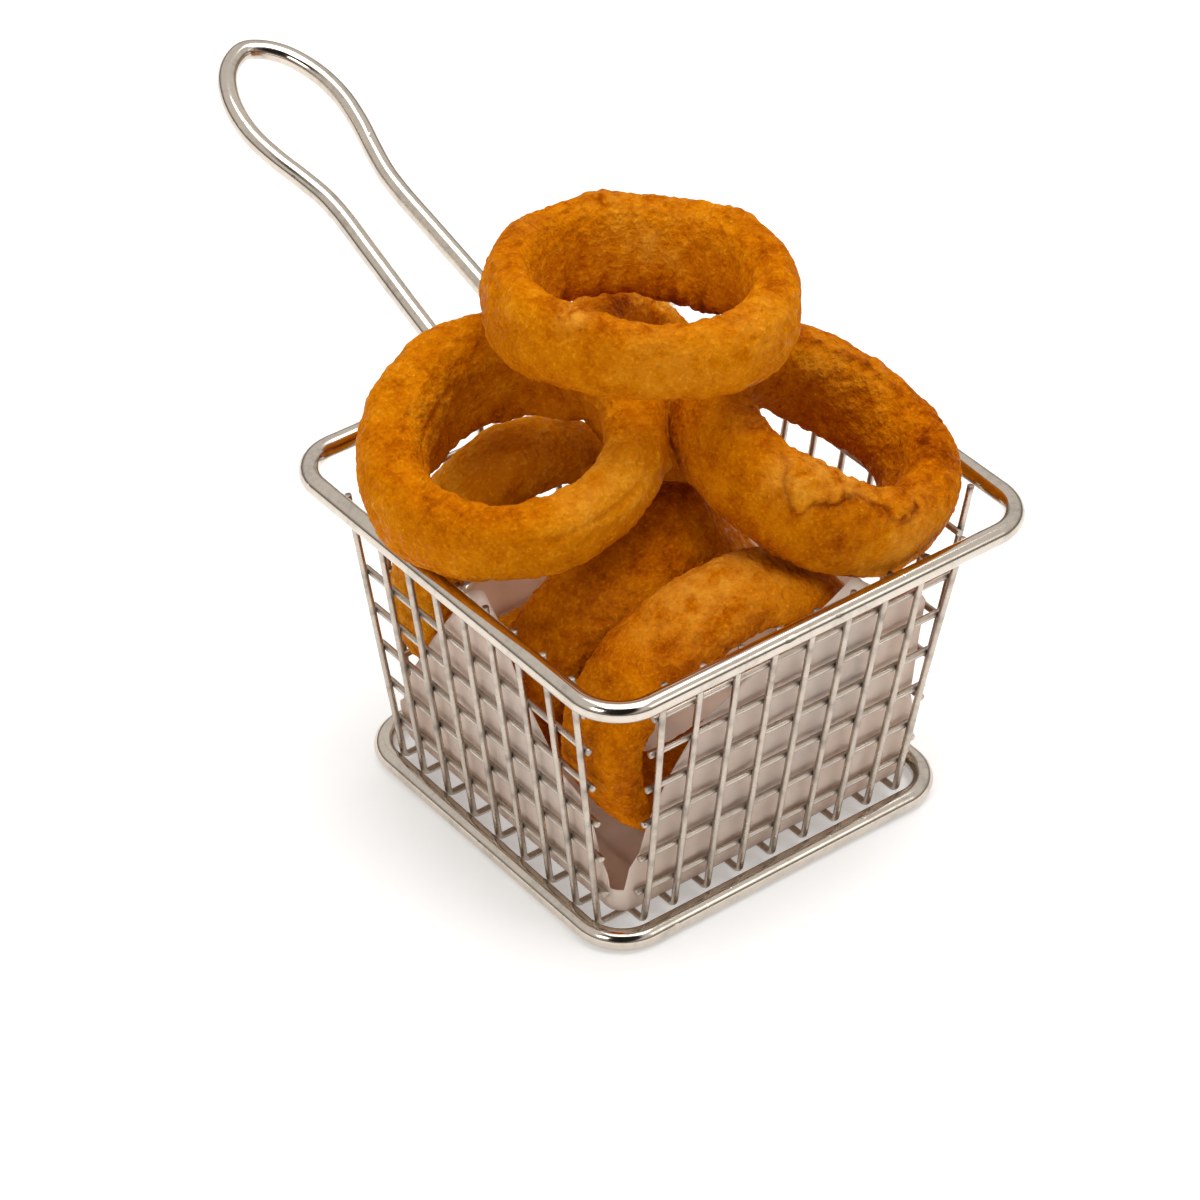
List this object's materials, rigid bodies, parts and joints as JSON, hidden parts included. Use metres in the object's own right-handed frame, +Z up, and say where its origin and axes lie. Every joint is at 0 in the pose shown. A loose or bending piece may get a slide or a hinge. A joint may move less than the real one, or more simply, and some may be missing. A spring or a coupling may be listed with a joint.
{
  "type": "onion rings in a wire serving basket",
  "caption": "Battered fried onion rings piled in a small square wire serving basket with a looped handle and a paper liner.",
  "frame": {"origin": "middle of the underside of the whole object's box, on the surface that the base ring stands on", "axes": "+Z up, +Y from the basket towards its handle, +X to the right when looking along +Y"},
  "size_m": [0.1094, 0.188, 0.1204],
  "materials": {
    "rim_steel": "polished steel wire, slightly warm, with fine pitting",
    "mesh_steel": "bright drawn steel wire, spot welded",
    "liner_paper": "thin white greaseproof paper, matt and slightly see-through",
    "crust": "golden fried batter crust, rough and blistered, slightly oily"
  },
  "bodies": {
    "root": {"rim": "rim_steel", "base_ring": "rim_steel", "handle": "rim_steel", "wall_front": "mesh_steel", "wall_back": "mesh_steel", "wall_left": "mesh_steel", "wall_right": "mesh_steel", "floor_mesh": "mesh_steel", "paper_liner": "liner_paper", "onion_ring_top": "crust", "onion_ring_left": "crust", "onion_ring_right": "crust", "onion_ring_front": "crust", "onion_ring_middle": "crust", "onion_ring_back": "crust", "onion_ring_under": "crust"}
  },
  "joints": []
}
